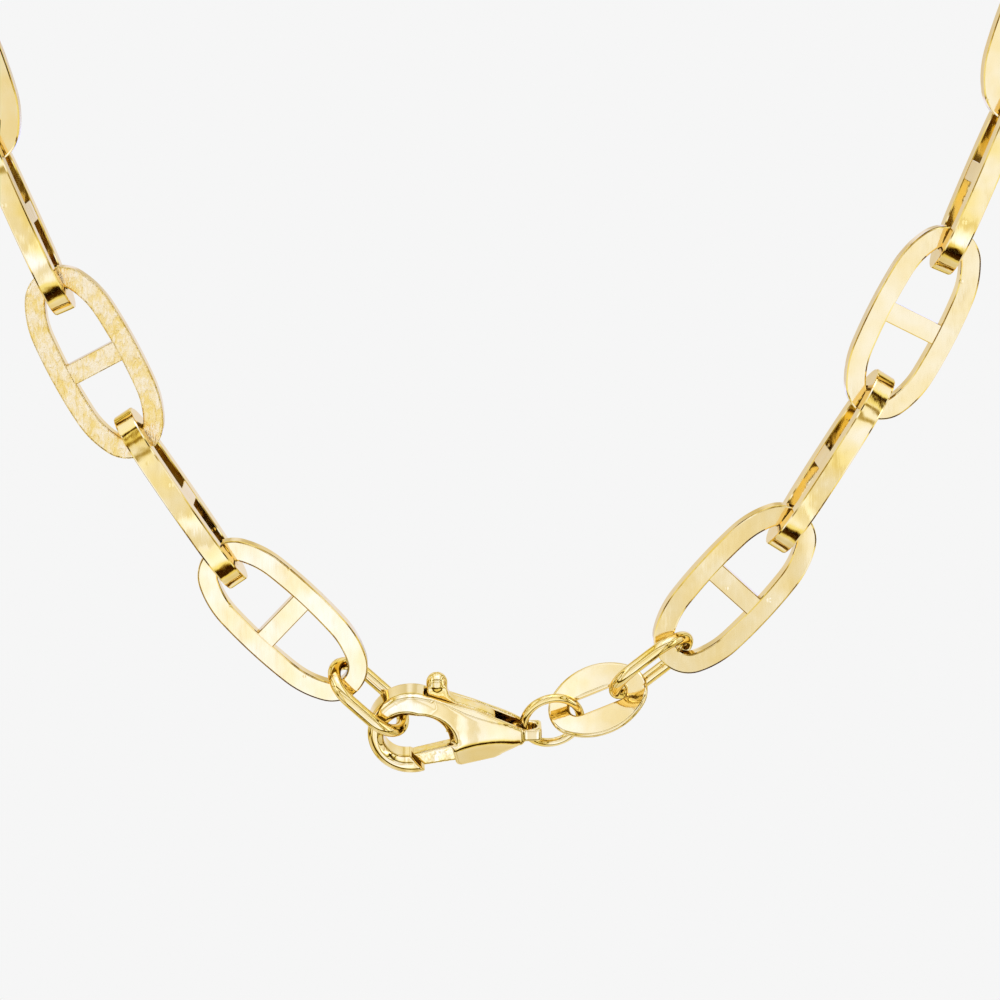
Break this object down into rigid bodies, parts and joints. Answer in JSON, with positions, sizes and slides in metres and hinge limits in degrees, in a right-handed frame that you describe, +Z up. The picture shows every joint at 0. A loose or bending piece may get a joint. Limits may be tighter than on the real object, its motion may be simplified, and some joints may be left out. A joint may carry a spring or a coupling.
{
  "type": "mariner link chain necklace",
  "caption": "Gold necklace of flat oval mariner links, each with a crossbar, closed in a loop by a lobster clasp, two oval jump rings, a small round ring and an oval slotted tag.",
  "frame": {"origin": "inside the top of the hanging loop, at the lower edge of the uppermost link, where a neck or a display stand carries the chain", "axes": "+Z up, the loop hangs in the XZ plane; -Y is the side that the picture shows; the clasp is at the bottom"},
  "size_m": [0.121, 0.0066, 0.184],
  "materials": {
    "gold": "polished yellow gold"
  },
  "bodies": {
    "necklace": {"link_01": "gold", "link_02": "gold", "link_03": "gold", "link_04": "gold", "link_05": "gold", "link_06": "gold", "link_07": "gold", "link_08": "gold", "link_09": "gold", "link_10": "gold", "link_11": "gold", "link_12": "gold", "link_13": "gold", "link_14": "gold", "link_15": "gold", "link_16": "gold", "link_17": "gold", "link_18": "gold", "link_19": "gold", "link_20": "gold", "link_21": "gold", "link_22": "gold", "link_23": "gold", "link_24": "gold", "link_25": "gold", "link_26": "gold", "link_27": "gold", "link_28": "gold", "link_29": "gold", "link_30": "gold", "link_31": "gold", "link_32": "gold", "link_33": "gold", "link_34": "gold", "link_35": "gold", "link_36": "gold", "link_37": "gold", "jump_ring_hook": "gold", "clasp_body": "gold", "clasp_pin": "gold", "jump_ring_tail": "gold", "tag_link": "gold", "jump_ring_chain": "gold"},
    "clasp_lever": {"clasp_trigger": "gold"}
  },
  "joints": [
    {"name": "lever_pivot", "type": "hinge", "parent": "necklace", "child": "clasp_lever", "pos_m": [-0.00091, 0.00034, -0.17446], "axis": [-0.0036, 0.9781, 0.2079], "range_deg": [0, 20], "stiffness_Nm_per_rad": 0.002, "springref_deg": -11.46}
  ]
}
